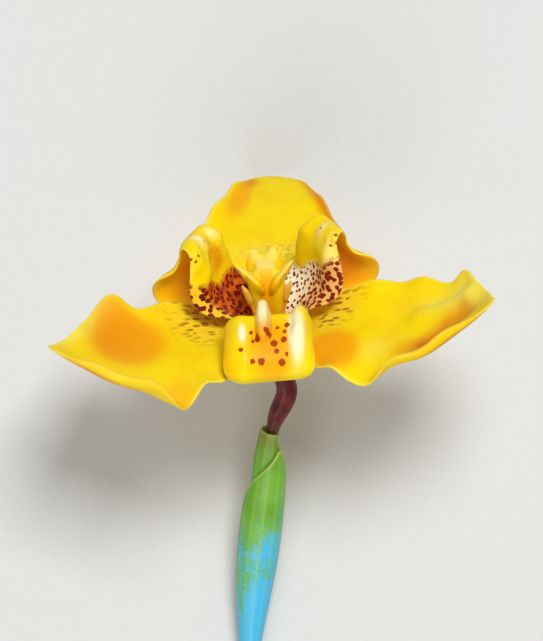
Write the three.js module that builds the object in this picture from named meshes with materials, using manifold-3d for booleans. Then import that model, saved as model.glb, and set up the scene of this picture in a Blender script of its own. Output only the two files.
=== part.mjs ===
// A yellow walking iris flower on its cut stem, lying on a table top, in millimetres, +Z up.
// The flower is made in its own frame: the top of its ovary at the origin, its axis along +Z and
// its front towards -Y. The head is then laid down so that its front faces up and the tip of its
// back tepal touches the surface, and the stem runs back along -Y until it lies flat at z = 0.
import * as THREE from "three";
import Module from "manifold-3d";
import { mergeVertices } from "three/addons/utils/BufferGeometryUtils.js";

const wasm = await Module();
wasm.setup();

const { degToRad, clamp } = THREE.MathUtils;

// Driving dimensions.
const tepalThickness = 0.65;
const pitch = 38; // degrees that the flower's axis rises above the surface
const lean = 6; // degrees that the head is turned about the vertical

// Each tepal has a middle line of [radius, height] points, evenly spaced values from its root to
// its tip for the arc width of each side, and for how each side bends: positive bends curl
// towards the upper face. "Ahead" is the counterclockwise side, seen from above. A roll is an
// extra bend that starts at rollFrom of the width.
const outerMidline = [[3, 0], [4.6, 2.6], [8, 4.6], [13, 5.6], [20, 5.9], [27, 7.2], [33, 10.4],
  [38.5, 15.5]];
const outerTepals = [
  {
    name: "outer_tepal_left",
    azimuth: 206,
    midline: outerMidline,
    widthAhead: [1.9, 3.6, 6.8, 9.4, 10.6, 11.2, 12.4, 14, 12.2, 9.6, 7, 4.2, 0.7],
    widthBehind: [1.9, 4.5, 8.4, 9.8, 11, 12.2, 14.8, 14.2, 11.8, 9, 6.4, 3.4, 0.7],
    bendAhead: [0.6, 0.3, 0, -0.1, -0.1, -0.1, -0.3, -0.2, 0, 0.1, 0.2, 0.2, 0],
    bendBehind: [0.6, 0.6, 0.55, 0.5, 0.5, 0.5, 0.55, 0.5, 0.5, 0.5, 0.4, 0.2, 0],
    rollAhead: [0, 0, 0, 0, 0.2, 0.4, 0, 0.7, 1.3, 1.5, 1.5, 1, 0],
    rollBehind: [0, 0, 0, 0, 0, 0.1, 0.4, 0.3, 0, 0, 0, 0, 0],
    ripple: { height: 0.5, count: 4.5, phase: 0.1 },
  },
  {
    name: "outer_tepal_right",
    azimuth: 334,
    midline: outerMidline,
    widthBehind: [1.9, 3.6, 6.8, 9.4, 10.6, 11.6, 11.9, 11.2, 10.2, 8.4, 6.4, 4.2, 0.9],
    widthAhead: [1.9, 4.5, 8.4, 9.8, 11, 12, 12.6, 12.4, 12.2, 13, 9.2, 5.2, 0.9],
    bendBehind: [0.6, 0.3, 0, -0.1, -0.1, -0.3, -0.3, -0.1, 0, 0.1, 0.2, 0.2, 0],
    bendAhead: [0.6, 0.6, 0.55, 0.5, 0.5, 0.5, 0.5, 0.45, 0.4, 0.4, 0.4, 0.2, 0],
    rollBehind: [0, 0, 0, 0, 0.3, 0, 0.3, 1, 1.3, 1.3, 1.3, 1, 0],
    rollAhead: [0, 0, 0, 0, 0, 0, 0, 0, 0.2, 0.3, 0, 0, 0],
    ripple: { height: 0.5, count: 4.5, phase: 0.65 },
    ridges: [
      { from: [23.8, 4.2], to: [32.2, 6.5], height: 1.2, width: 2.4 },
      { from: [24.5, -3.4], to: [33, 3.4], height: -0.8, width: 1.7 },
    ],
  },
  {
    name: "outer_tepal_back",
    azimuth: 87,
    midline: [[3, 0], [4.6, 2.6], [8, 4.8], [13, 6.6], [20, 8], [27, 8.8], [33, 9], [37.6, 8.6]],
    widthAhead: [1.9, 4.2, 8, 10.4, 11.2, 11.4, 11.2, 10.4, 9.2, 7.8, 6.4, 5, 3.2],
    widthBehind: [1.9, 4.2, 8, 10.6, 11.8, 12.2, 12.2, 11.6, 10.6, 9.4, 8, 6.4, 4.6],
    bendAhead: [0.6, 0.4, 0.2, 0.1, 0, 0, 0, 0.1, 0.2, 0.3, 0.3, 0.2, 0],
    bendBehind: [0.6, 0.4, 0.2, 0.1, 0, -0.1, -0.1, -0.1, -0.1, 0, 0, 0, -0.27],
    rollAhead: [0, 0, 0, 0, 0, 0, 0, 0.2, 0.5, 0.9, 0.9, 0.5, 0],
    rollBehind: [0],
    ripple: { height: 0.6, count: 4.5, phase: 0 },
  },
];

// Inner tepals: an upright cupped claw, a knee that leans inwards, then a limb that
// slopes down, turns out by its twist in degrees and curls under.
const sideMidline = [[2, 0], [3.4, 3.4], [6, 6.8], [8.2, 9.6], [9, 12.4], [9.2, 15.4],
  [10.2, 18.2], [12.2, 18.8], [13.6, 17.2], [14.1, 15.2], [14.6, 13.3], [15, 11.7],
  [14.85, 10.1], [14.3, 8.75], [13.45, 7.75], [12.45, 6.8]];
const nearWidth = [1.1, 2.1, 3.4, 5, 6.3, 6.9, 6.8, 6.2, 5, 3.6, 2.6, 2.7, 4.4, 4.6, 2.2];
const farWidth = [1.1, 2.1, 3.4, 5, 6.3, 6.8, 6.2, 5.2, 4.3, 3.8, 3.7, 3.2, 2.6, 1.9, 1.2];
const nearBend = [0.6, 0.9, 1, 0.7, 0.2, 0, 0, 0, 0, 0, -0.2, -0.4, -0.5, -0.4, -0.2];
const farBend = [0.6, 0.9, 1, 0.7, 0.2, 0, 0, -0.1, -0.3, -0.3, -0.2, -0.1, -0.1, -0.1, 0];
const limbTwist = [0, 0, 0, 0, 0, 0, 0, 0, 0, 0, 0, 14, 52, 62, 56];
const limbRoll = [0, 0, 0, 0, -0.6, -1.1, -1.1, -0.9, -0.6, -0.2, 0, 0, 0, 0, 0];
const sideRidges = [
  { from: [14, 3.6], to: [21, 3.6], height: 0.6, width: 1.6 },
  { from: [14, -3.6], to: [21, -3.6], height: 0.6, width: 1.6 },
];
const innerTepals = [
  {
    name: "inner_tepal_front",
    azimuth: 268,
    midline: [[2, 0], [3.4, 3.4], [5.4, 7], [7, 10], [9, 11.8], [11.6, 11.4], [14.2, 10.2],
      [16.4, 8.4], [17.3, 6.4], [16.4, 4.9], [14.4, 5.3]],
    widthAhead: [1.1, 2.3, 4, 5.6, 6.8, 7.3, 7.4, 7.2, 6.6, 5.6, 3.6],
    widthBehind: [1.1, 2.3, 4, 5.6, 7, 7.8, 8, 8, 7.6, 6.4, 4],
    bendAhead: [0.6, 0.9, 0.9, 0.7, 0.2, 0, 0, 0, 0, 0, 0],
    bendBehind: [0.6, 0.9, 0.9, 0.7, 0.2, 0, 0, 0, 0, 0, 0],
    rollAhead: [0, 0, 0, -0.2, -1, -1.4, -1.4, -1.3, -1, -0.5, 0],
    rollBehind: [0, 0, 0, -0.2, -1, -1.4, -1.4, -1.3, -1, -0.5, 0],
    ridges: [
      { from: [12.6, -0.7], to: [18.4, -0.9], height: 2, width: 1.15 },
      { from: [15, 4.3], to: [20, 4.1], height: 0.6, width: 1 },
      { from: [15, -4.4], to: [24, -4.2], height: 0.6, width: 1.3 },
    ],
  },
  {
    name: "inner_tepal_left",
    azimuth: 152,
    midline: sideMidline,
    widthAhead: nearWidth,
    widthBehind: farWidth,
    bendAhead: nearBend,
    bendBehind: farBend,
    rollAhead: limbRoll,
    rollBehind: limbRoll,
    twist: limbTwist,
    ridges: sideRidges,
  },
  {
    name: "inner_tepal_right",
    azimuth: 28,
    midline: sideMidline,
    widthAhead: farWidth,
    widthBehind: nearWidth,
    bendAhead: farBend,
    bendBehind: nearBend,
    rollAhead: limbRoll,
    rollBehind: limbRoll,
    twist: limbTwist.map((turn) => -turn),
    ridges: sideRidges,
  },
];
const rollFrom = 0.62;
const rootHeight = 0.35; // tepals start this far above the top of the ovary

// The stem, in millimetres from the top of the ovary.
const scapeRadius = 1.5;
const runLength = 62; // straight run that lies on the surface
const pedicelEnd = 55.6;
const scapeStart = 56;
const bractThickness = 0.6;
const ovaryRadii = [1.35, 1.5, 1.7, 1.6, 1, 0.7, 0.65, 0.65, 0.65, 0.65, 0.65, 0.65, 0.65, 0.65,
  0.6, 0.55];
const bracts = [
  {
    name: "spathe_outer",
    base: 55.6,
    tip: 17.5,
    keel: 55,
    halfWidth: [1.25, 2.1, 2.8, 3.15, 3.15, 2.85, 2.55],
    halfDepth: [1.25, 2, 2.45, 2.6, 2.6, 2.55, 2.5],
    wrapAhead: [195, 195, 195, 190, 178, 110, 12],
    wrapBehind: [130, 130, 130, 130, 120, 80, 12],
  },
  {
    name: "spathe_inner",
    base: 46.5,
    tip: 14.8,
    keel: 180,
    halfWidth: [1.3, 1.7, 2, 2.05, 1.8, 1.45, 1.75],
    halfDepth: [1.25, 1.45, 1.6, 1.6, 1.45, 1.35, 1.7],
    wrapAhead: [150, 150, 150, 150, 150, 145, 90],
    wrapBehind: [150, 150, 150, 150, 155, 150, 120],
  },
];

const materials = {
  tepal: new THREE.MeshStandardMaterial({ color: 0xf9d400, roughness: 0.45, metalness: 0 }),
  style: new THREE.MeshStandardMaterial({ color: 0xf4b800, roughness: 0.4, metalness: 0 }),
  anther: new THREE.MeshStandardMaterial({ color: 0xf2e08a, roughness: 0.8, metalness: 0 }),
  ovary: new THREE.MeshStandardMaterial({ color: 0x6e3a24, roughness: 0.6, metalness: 0 }),
  bract: new THREE.MeshStandardMaterial({ color: 0x6bb34c, roughness: 0.5, metalness: 0 }),
  scape: new THREE.MeshStandardMaterial({ color: 0x5a9a45, roughness: 0.5, metalness: 0 }),
};

// A smooth curve through evenly spaced values, at u from 0 to 1.
function smoothAt(values, u) {
  const last = values.length - 1;
  if (last === 0) return values[0];
  const place = clamp(u, 0, 1) * last;
  const i = Math.min(Math.floor(place), last - 1);
  const t = place - i;
  const [a, b, c, d] = [i - 1, i, i + 1, i + 2].map((k) => values[clamp(k, 0, last)]);
  return b + 0.5 * t * (c - a + t * (2 * a - 5 * b + 4 * c - d + t * (3 * (b - c) + d - a)));
}

// Height of a soft ridge (or hollow) that runs between two places on a tepal, in millimetres
// along it and across it.
function ridgeHeight({ from, to, height, width }, along, across) {
  const span = [to[0] - from[0], to[1] - from[1]];
  const reach = (along - from[0]) * span[0] + (across - from[1]) * span[1];
  const t = clamp(reach / (span[0] ** 2 + span[1] ** 2), 0, 1);
  const away = Math.hypot(along - from[0] - t * span[0], across - from[1] - t * span[1]);
  return height * Math.exp(-((away / width) ** 2));
}

// A tepal's middle surface. u runs from root to tip, and v from -1 to 1 across it.
function tepalSurface(shape) {
  const points = shape.midline.map(([r, z]) => new THREE.Vector2(r, z + rootHeight));
  const line = new THREE.SplineCurve(points);
  line.arcLengthDivisions = 400;
  const length = line.getLength();
  const azimuth = degToRad(shape.azimuth);
  const [cosA, sinA] = [Math.cos(azimuth), Math.sin(azimuth)];
  return (u, v) => {
    const centre = line.getPointAt(clamp(u, 0, 1));
    const tangent = line.getTangentAt(clamp(u, 0, 1));
    const half = smoothAt(v >= 0 ? shape.widthAhead : shape.widthBehind, u);
    const bend = smoothAt(v >= 0 ? shape.bendAhead : shape.bendBehind, u);
    const roll = smoothAt(v >= 0 ? shape.rollAhead : shape.rollBehind, u);
    const parts = 10;
    let [across, lift] = [0, 0];
    for (let k = 0; k < parts; k++) {
      const w = (Math.abs(v) * (k + 0.5)) / parts;
      const angle = bend * w + roll * clamp((w - rollFrom) / (1 - rollFrom), 0, 1);
      across += (half * Math.abs(v) * Math.cos(angle)) / parts;
      lift += (half * Math.abs(v) * Math.sin(angle)) / parts;
    }
    across *= Math.sign(v);
    if (shape.ripple) {
      const { height, count, phase } = shape.ripple;
      const fade = Math.abs(v) ** 3 * Math.sin(Math.PI * clamp(u, 0, 1));
      lift += height * fade * Math.sin(2 * Math.PI * (count * u + phase) + Math.sign(v));
    }
    for (const ridge of shape.ridges ?? []) lift += ridgeHeight(ridge, u * length, v * half);
    const twist = degToRad(smoothAt(shape.twist ?? [0], u));
    [across, lift] = [
      across * Math.cos(twist) - lift * Math.sin(twist),
      across * Math.sin(twist) + lift * Math.cos(twist),
    ];
    const radial = centre.x - tangent.y * lift;
    const height = centre.y + tangent.x * lift;
    return new THREE.Vector3(
      radial * cosA - across * sinA,
      radial * sinA + across * cosA,
      height,
    );
  };
}

// A closed blade of even thickness on a surface, split alike on both faces.
function bladeGeometry(surface, rows, columns, thickness) {
  const step = 1e-3;
  const sheets = [[], []];
  for (let i = 0; i <= rows; i++) {
    for (let j = 0; j <= columns; j++) {
      const [u, v] = [i / rows, (2 * j) / columns - 1];
      const ua = clamp(u, step, 1 - step);
      const alongU = surface(ua + step, v).sub(surface(ua - step, v));
      const alongV = surface(u, v + step).sub(surface(u, v - step));
      const normal = alongU.cross(alongV).normalize();
      for (const [k, sign] of [1, -1].entries()) {
        sheets[k].push(surface(u, v).addScaledVector(normal, (sign * thickness) / 2));
      }
    }
  }
  return closedSheets(sheets, rows, columns);
}

// Joins an upper and a lower grid of points into one closed mesh.
function closedSheets([upper, lower], rows, columns) {
  const at = (i, j) => i * (columns + 1) + j;
  const under = upper.length;
  const index = [];
  for (let i = 0; i < rows; i++) {
    for (let j = 0; j < columns; j++) {
      const [a, b, c, d] = [at(i, j), at(i + 1, j), at(i + 1, j + 1), at(i, j + 1)];
      index.push(a, b, c, a, c, d);
      index.push(under + a, under + c, under + b, under + a, under + d, under + c);
    }
  }
  const rim = [];
  for (let j = 0; j < columns; j++) rim.push(at(0, j));
  for (let i = 0; i < rows; i++) rim.push(at(i, columns));
  for (let j = columns; j > 0; j--) rim.push(at(rows, j));
  for (let i = rows; i > 0; i--) rim.push(at(i, 0));
  rim.forEach((a, k) => {
    const b = rim[(k + 1) % rim.length];
    index.push(a, b, under + b, a, under + b, under + a);
  });
  return geometryFrom([...upper, ...lower], index);
}

function geometryFrom(points, index) {
  const geometry = new THREE.BufferGeometry().setFromPoints(points);
  geometry.setIndex(index);
  geometry.computeVertexNormals();
  return geometry;
}

// Rings of points square to a path, whose section is a function of the place along it and the
// angle. Angle 0 points to the given side.
function ringsAlong(path, steps, sides, side, section) {
  const rings = [];
  for (let i = 0; i <= steps; i++) {
    const t = i / steps;
    const frame = frameOn(path, t, side);
    const ring = [];
    for (let k = 0; k < sides; k++) {
      const [a, b] = section(t, (2 * Math.PI * (k + 0.5)) / sides);
      ring.push(frame.at(a, b));
    }
    rings.push(ring);
  }
  return rings;
}

function frameOn(path, t, side) {
  const centre = path(t);
  const tangent = path(Math.min(t + 0.004, 1)).sub(path(Math.max(t - 0.004, 0))).normalize();
  const across = side.clone().addScaledVector(tangent, -side.dot(tangent)).normalize();
  const up = new THREE.Vector3().crossVectors(tangent, across);
  return { at: (a, b) => centre.clone().addScaledVector(across, a).addScaledVector(up, b) };
}

// A solid stalk through rings of points, closed by a flat end at each end.
function stalkGeometry(rings) {
  const sides = rings[0].length;
  const points = rings.flat();
  const index = [];
  for (let i = 0; i + 1 < rings.length; i++) {
    for (let k = 0; k < sides; k++) {
      const [a, b] = [i * sides + k, i * sides + ((k + 1) % sides)];
      index.push(a, b, b + sides, a, b + sides, a + sides);
    }
  }
  const end = (rings.length - 1) * sides;
  for (let k = 1; k + 1 < sides; k++) {
    index.push(0, k + 1, k);
    index.push(end, end + k, end + k + 1);
  }
  return geometryFrom(points, index);
}

function roundSection(radii, flat = 1) {
  return (t, angle) => {
    const radius = smoothAt(radii, t);
    return [radius * Math.cos(angle), radius * flat * Math.sin(angle)];
  };
}

// A path through points of radius, height and sideways offset at one azimuth.
function radialPath(azimuth, points) {
  const angle = degToRad(azimuth);
  const curve = new THREE.CatmullRomCurve3(
    points.map(([r, z, sideways = 0]) => new THREE.Vector3(
      r * Math.cos(angle) - sideways * Math.sin(angle),
      r * Math.sin(angle) + sideways * Math.cos(angle),
      z,
    )),
    false,
    "centripetal",
  );
  return (t) => curve.getPointAt(t);
}

function tangential(azimuth) {
  const angle = degToRad(azimuth);
  return new THREE.Vector3(-Math.sin(angle), Math.cos(angle), 0);
}

function toManifold(geometry) {
  const bare = new THREE.BufferGeometry()
    .setAttribute("position", geometry.getAttribute("position"))
    .setIndex(geometry.index);
  const merged = mergeVertices(bare, 1e-4);
  return new wasm.Manifold(new wasm.Mesh({
    numProp: 3,
    vertProperties: merged.attributes.position.array,
    triVerts: new Uint32Array(merged.index.array),
  }));
}

function fuse(geometries) {
  const whole = geometries.map(toManifold).reduce((a, b) => a.add(b));
  const mesh = whole.getMesh();
  const fused = new THREE.BufferGeometry();
  fused.setAttribute("position", new THREE.BufferAttribute(mesh.vertProperties, 3));
  fused.setIndex(new THREE.BufferAttribute(mesh.triVerts, 1));
  fused.computeVertexNormals();
  return fused;
}

// The style: a three-lobed column that opens into three arms, each with two pointed crests.
const armAzimuths = { back: 90, left: 208, right: 332 };

function styleGeometry() {
  const lobes = (t, angle) => {
    const radius = smoothAt([1.2, 1.3, 1.5, 2, 2.5], t);
    const lobe = smoothAt([0, 0.1, 0.15, 0.25, 0.4], t);
    const wide = radius * (1 + lobe * Math.cos(3 * (angle - Math.PI / 2)));
    return [wide * Math.cos(angle), wide * Math.sin(angle)];
  };
  const solids = [stalkGeometry(ringsAlong(
    (t) => new THREE.Vector3(0, 0, rootHeight + t * 15),
    7, 18, new THREE.Vector3(1, 0, 0), lobes,
  ))];
  for (const azimuth of Object.values(armAzimuths)) {
    const side = tangential(azimuth);
    for (const sign of [-1, 1]) {
      solids.push(stalkGeometry(ringsAlong(
        radialPath(azimuth, [[1.5, 11.6, sign * 0.5], [2.3, 13.8, sign],
          [3.2, 15.4, sign * 1.4], [4.1, 16.6, sign * 1.6]]),
        6, 8, side, roundSection([1, 1.45, 1.3, 0.35], 0.5),
      )));
    }
  }
  return fuse(solids);
}

// A stamen: a thin filament, and an anther that lies against the outside of a style arm.
function stamenGeometry(azimuth) {
  const side = tangential(azimuth);
  const filament = stalkGeometry(ringsAlong(
    radialPath(azimuth, [[1.95, rootHeight], [2.15, 4], [2.5, 8], [3.5, 10.9]]),
    6, 6, side, roundSection([0.42, 0.4, 0.38]),
  ));
  const anther = stalkGeometry(ringsAlong(
    radialPath(azimuth, [[3.3, 9.8], [3.7, 11.2], [4.2, 12.6], [4.8, 13.8]]),
    7, 8, side, roundSection([0.4, 0.7, 0.75, 0.65, 0.3], 0.65),
  ));
  return fuse([filament, anther]);
}

const flower = new THREE.Group();
const head = new THREE.Group();
head.rotation.set(degToRad(pitch - 90), 0, degToRad(lean), "ZYX");
flower.add(head);

function addMesh(parent, name, geometry, material) {
  const mesh = new THREE.Mesh(geometry, material);
  mesh.name = name;
  parent.add(mesh);
  return mesh;
}

for (const shape of outerTepals) {
  addMesh(head, shape.name, bladeGeometry(tepalSurface(shape), 24, 12, tepalThickness),
    materials.tepal);
}
for (const shape of innerTepals) {
  addMesh(head, shape.name, bladeGeometry(tepalSurface(shape), 30, 14, tepalThickness),
    materials.tepal);
}
addMesh(head, "style", styleGeometry(), materials.style);
for (const [name, azimuth] of Object.entries(armAzimuths)) {
  addMesh(head, `stamen_${name}`, stamenGeometry(azimuth), materials.anther);
}

// The stem: it leaves the flower along the axis, sinks to the surface and then lies along it.
const floor = new THREE.Box3().setFromObject(head, true).min.z;
const downAxis = new THREE.Vector3(0, 0, -1).applyQuaternion(head.quaternion);
const runStart = new THREE.Vector3(-3.4, -66, floor + scapeRadius * Math.cos(Math.PI / 12));
const runDirection = new THREE.Vector3(0.08, -1, 0).normalize();
const stemLine = new THREE.CurvePath();
stemLine.add(new THREE.CubicBezierCurve3(
  new THREE.Vector3(),
  downAxis.clone().multiplyScalar(20),
  runStart.clone().addScaledVector(runDirection, -30),
  runStart,
));
stemLine.add(new THREE.LineCurve3(runStart, runStart.clone().addScaledVector(runDirection, runLength)));
const stemLength = stemLine.getLength();
const rightwards = new THREE.Vector3(1, 0, 0);

// A path along part of the stem, between two lengths measured from the flower. The stem bows
// sideways a little at the ovary.
function stemPart(from, to) {
  return (t) => {
    const along = clamp(from + (to - from) * t, 0, stemLength);
    const bow = 1.9 * Math.exp(-(((along - 7.5) / 4.2) ** 2));
    return stemLine.getPointAt(along / stemLength).addScaledVector(rightwards, bow);
  };
}

// A folded bract around the stem: the keel's angle, and how far it wraps to each side.
function bractSurface({ base, tip, keel, halfWidth, halfDepth, wrapAhead, wrapBehind }) {
  const path = stemPart(base, tip);
  return (u, v) => {
    const wrap = smoothAt(v >= 0 ? wrapAhead : wrapBehind, u) * v;
    const angle = degToRad(keel + wrap);
    const frame = frameOn((t) => path(1 - t), 1 - u, rightwards);
    return frame.at(
      smoothAt(halfWidth, u) * Math.cos(angle),
      smoothAt(halfDepth, u) * Math.sin(angle),
    );
  };
}

addMesh(flower, "ovary", stalkGeometry(ringsAlong(
  stemPart(0, pedicelEnd), 24, 10, rightwards, roundSection(ovaryRadii),
)), materials.ovary);
for (const bract of bracts) {
  addMesh(flower, bract.name, bladeGeometry(bractSurface(bract), 14, 18, bractThickness),
    materials.bract);
}
addMesh(flower, "scape", stalkGeometry(ringsAlong(
  stemPart(scapeStart, stemLength), 18, 12, rightwards, roundSection([scapeRadius]),
)), materials.scape);

// The origin moves to the middle of the flower's footprint, on the surface.
const bounds = new THREE.Box3().setFromObject(flower, true);
const centre = bounds.getCenter(new THREE.Vector3());
const origin = new THREE.Vector3(centre.x, centre.y, bounds.min.z);
for (const piece of flower.children) piece.position.sub(origin);

export default flower;
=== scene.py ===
import math
import bpy
import numpy as np
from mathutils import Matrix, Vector


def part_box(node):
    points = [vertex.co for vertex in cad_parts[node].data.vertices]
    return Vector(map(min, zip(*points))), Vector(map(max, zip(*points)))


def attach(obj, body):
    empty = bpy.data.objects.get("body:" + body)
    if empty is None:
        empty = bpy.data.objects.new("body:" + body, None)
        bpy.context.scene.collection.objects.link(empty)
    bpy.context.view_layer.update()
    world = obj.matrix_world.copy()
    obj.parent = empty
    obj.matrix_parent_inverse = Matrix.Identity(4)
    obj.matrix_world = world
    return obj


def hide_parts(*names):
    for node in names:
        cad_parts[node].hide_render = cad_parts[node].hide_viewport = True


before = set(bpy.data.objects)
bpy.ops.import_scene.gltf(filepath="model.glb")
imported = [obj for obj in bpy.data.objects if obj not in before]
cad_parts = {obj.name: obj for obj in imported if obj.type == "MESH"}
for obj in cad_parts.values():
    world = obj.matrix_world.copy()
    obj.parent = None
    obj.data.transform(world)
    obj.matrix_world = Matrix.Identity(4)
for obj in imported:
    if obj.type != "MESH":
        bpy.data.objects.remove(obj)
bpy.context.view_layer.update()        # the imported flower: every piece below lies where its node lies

# How the head lies: its axis rises by pitch from the table, and it is turned by lean.
headPose = {"pitch": 38, "lean": 6, "rootHeight": 0.35, "rollFrom": 0.62}


# Smooth values and lines

# a smooth curve through evenly spaced values, read at u from 0 to 1
def smoothAt(values, u):
    values = np.asarray(values, float)
    last = len(values) - 1
    if last == 0:
        return np.full(np.shape(u), values[0])
    place = np.clip(u, 0, 1) * last
    i = np.minimum(np.floor(place).astype(int), last - 1)
    t = place - i
    a, b, c, d = (values[np.clip(i + k, 0, last)] for k in (-1, 0, 1, 2))
    return b + 0.5 * t * (c - a + t * (2 * a - 5 * b + 4 * c - d + t * (3 * (b - c) + d - a)))


# smooth values of a blade's two sides, the first where v is positive
def bySide(pair, u, v):
    return np.where(v >= 0, smoothAt(pair[0], u), smoothAt(pair[1], u))


# a smooth line through points, read by its length from 0 to 1
def lineThrough(points, samples=400):
    points = np.array(points, float)
    t = np.linspace(0, 1, samples + 1)
    line = np.stack([smoothAt(axis, t) for axis in points.T], -1)
    steps = np.linalg.norm(np.diff(line, axis=0), axis=1)
    travelled = np.concatenate([[0], np.cumsum(steps)])

    def read(u):
        place = np.interp(np.clip(u, 0, 1) * travelled[-1], travelled, t)
        centre, ahead, behind = (
            np.stack([smoothAt(axis, np.clip(place + d, 0, 1)) for axis in points.T], -1)
            for d in (0, 1e-4, -1e-4))
        return centre, unit(ahead - behind)

    return read, travelled[-1]


def unit(vectors):
    return vectors / np.maximum(np.linalg.norm(vectors, axis=-1, keepdims=True), 1e-12)


def turned(points, axis, degrees):
    c, s = math.cos(math.radians(degrees)), math.sin(math.radians(degrees))
    turn = {"x": [[1, 0, 0], [0, c, -s], [0, s, c]], "z": [[c, -s, 0], [s, c, 0], [0, 0, 1]]}[axis]
    return points @ np.array(turn).T


# soft blobs of (centre, reach, weight, edge): 1 inside and 0 outside, clearer with more edge
def blobs(u, v, spots):
    total = np.zeros(u.shape)
    for centre, reach, weight, edge in spots:
        away = np.hypot((u - centre[0]) / reach[0], (v - centre[1]) / reach[1])
        total += weight / (1 + np.exp((away - 1) * edge * 2))
    return np.clip(total, 0, 1)


# Tepals: each has a middle line of (radius, height), and widths, bends and rolls for its two
# sides, the counterclockwise one first. Ridges run between two places in millimetres along and
# across, with a height, a width and a steepness. Painted shade and highlight are soft blobs: gold
# and ember are painted shade in hollows, folds and under rolled margins, pale is a painted highlight
# on ridges and lit rims (near the back tepal's root partly its own cream), and under is painted
# shade on the lower face. Marks are where dashes lie. A claw is marked between two shares of the
# length, and reaches further with the share across, ahead and behind.

outerMidline = [(3, 0), (4.6, 2.6), (8, 4.6), (13, 5.6), (20, 5.9), (27, 7.2), (33, 10.4), (38.5, 15.5)]
outerTepalLeft = {
    "azimuth": 206,
    "midline": outerMidline,
    "widths": ([1.9, 3.6, 6.8, 9.4, 10.6, 11.2, 12.4, 14, 12.2, 9.6, 7, 4.2, 0.7],
               [1.9, 4.5, 8.4, 9.8, 11, 12.2, 14.8, 14.2, 11.8, 9, 6.4, 3.4, 0.7]),
    "bends": ([0.6, 0.3, 0, -0.1, -0.1, -0.1, -0.3, -0.2, 0, 0.1, 0.2, 0.2, 0],
              [0.6, 0.6, 0.55, 0.5, 0.5, 0.5, 0.55, 0.5, 0.5, 0.5, 0.4, 0.2, 0]),
    "rolls": ([0, 0, 0, 0, 0.2, 0.4, 0, 0.7, 1.3, 1.5, 1.5, 1, 0],
              [0, 0, 0, 0, 0, 0.1, 0.4, 0.3, 0, 0, 0, 0, 0]),
    "ripple": (0.5, 4.5, 0.1),
    "gold": [((0.545, -0.46), (0.16, 0.5), 1.0, 5), ((0.53, 0.8), (0.07, 0.24), 0.6, 3)],
    "pale": [((0.8, 0.72), (0.2, 0.2), 0.6, 2), ((0.8, -1.0), (0.22, 0.22), 0.9, 2)],
    "ember": [((0.58, -0.55), (0.1, 0.36), 0.42, 1.5), ((0.78, 1.02), (0.3, 0.05), 0.6, 2)],
    "mottle": [((0.17, -0.85), (0.04, 0.3), 1.0, 2)],
    "under": [((0.78, 0.66), (0.3, 0.12), 0.8, 2)],
    "marks": [((0.24, -0.55), (0.08, 0.48), 1.0, 2)],
    "seed": 3,
}
outerTepalRight = {
    "azimuth": 334,
    "midline": outerMidline,
    "widths": ([1.9, 4.5, 8.4, 9.8, 11, 12, 12.6, 12.4, 12.2, 13, 9.2, 5.2, 0.9],
               [1.9, 3.6, 6.8, 9.4, 10.6, 11.6, 11.9, 11.2, 10.2, 8.4, 6.4, 4.2, 0.9]),
    "bends": ([0.6, 0.6, 0.55, 0.5, 0.5, 0.5, 0.5, 0.45, 0.4, 0.4, 0.4, 0.2, 0],
              [0.6, 0.3, 0, -0.1, -0.1, -0.3, -0.3, -0.1, 0, 0.1, 0.2, 0.2, 0]),
    "rolls": ([0, 0, 0, 0, 0, 0, 0, 0, 0.2, 0.3, 0, 0, 0],
              [0, 0, 0, 0, 0.3, 0, 0.3, 1, 1.3, 1.3, 1.3, 1, 0]),
    "ripple": (0.5, 4.5, 0.65),
    "ridges": [((23.8, 4.2), (32.2, 6.5), 1.2, 2.4, 2), ((24.5, -3.4), (33, 3.4), -0.5, 1.9, 2)],
    "gold": [((0.29, -0.55), (0.11, 0.5), 1.0, 5)],
    "pale": [((0.85, 0.75), (0.16, 0.4), 0.7, 2), ((0.7, 0.53), (0.12, 0.16), 0.6, 2),
             ((0.46, -0.35), (0.05, 0.2), 0.4, 2)],
    "ember": [((0.6, -0.32), (0.06, 0.2), 0.6, 2), ((0.67, -0.16), (0.055, 0.2), 0.75, 2),
              ((0.735, 0.08), (0.055, 0.2), 0.8, 2), ((0.81, 0.33), (0.045, 0.17), 0.7, 2)],
    "under": [((0.75, -0.66), (0.3, 0.12), 0.8, 2)],
    "marks": [((0.22, 0.62), (0.07, 0.42), 1.0, 2), ((0.19, 0.2), (0.04, 0.15), 1.0, 2)],
    "seed": 8,
}
outerTepalBack = {
    "azimuth": 87,
    "midline": [(3, 0), (4.6, 2.6), (8, 4.8), (13, 6.6), (20, 8), (27, 8.8), (33, 9), (37.6, 8.6)],
    "widths": ([1.9, 4.2, 8, 10.4, 11.2, 11.4, 11.2, 10.4, 9.2, 7.8, 6.4, 5, 3.2],
               [1.9, 4.2, 8, 10.6, 11.8, 12.2, 12.2, 11.6, 10.6, 9.4, 8, 6.4, 4.6]),
    "bends": ([0.6, 0.4, 0.2, 0.1, 0, 0, 0, 0.1, 0.2, 0.3, 0.3, 0.2, 0],
              [0.6, 0.4, 0.2, 0.1, 0, -0.1, -0.1, -0.1, -0.1, 0, 0, 0, -0.27]),
    "rolls": ([0, 0, 0, 0, 0, 0, 0, 0.2, 0.5, 0.9, 0.9, 0.5, 0], [0]),
    "ripple": (0.6, 4.5, 0),
    "gold": [((0.84, 0.62), (0.17, 0.26), 0.9, 3)],
    "pale": [((0.43, 0.0), (0.05, 0.5), 0.4, 2)],
    "ember": [((0.72, -1.02), (0.25, 0.17), 1.0, 2), ((0.93, 0.5), (0.03, 0.22), 0.6, 1.5)],
    "marks": [((0.43, -0.1), (0.03, 0.3), 0.3, 1.2)],
    "mottle": [((0.42, -0.22), (0.05, 0.22), 0.7, 1.2), ((0.45, 0.1), (0.03, 0.3), 0.4, 1)],
    "roundTip": 0.1,
    "seed": 5,
}
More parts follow.
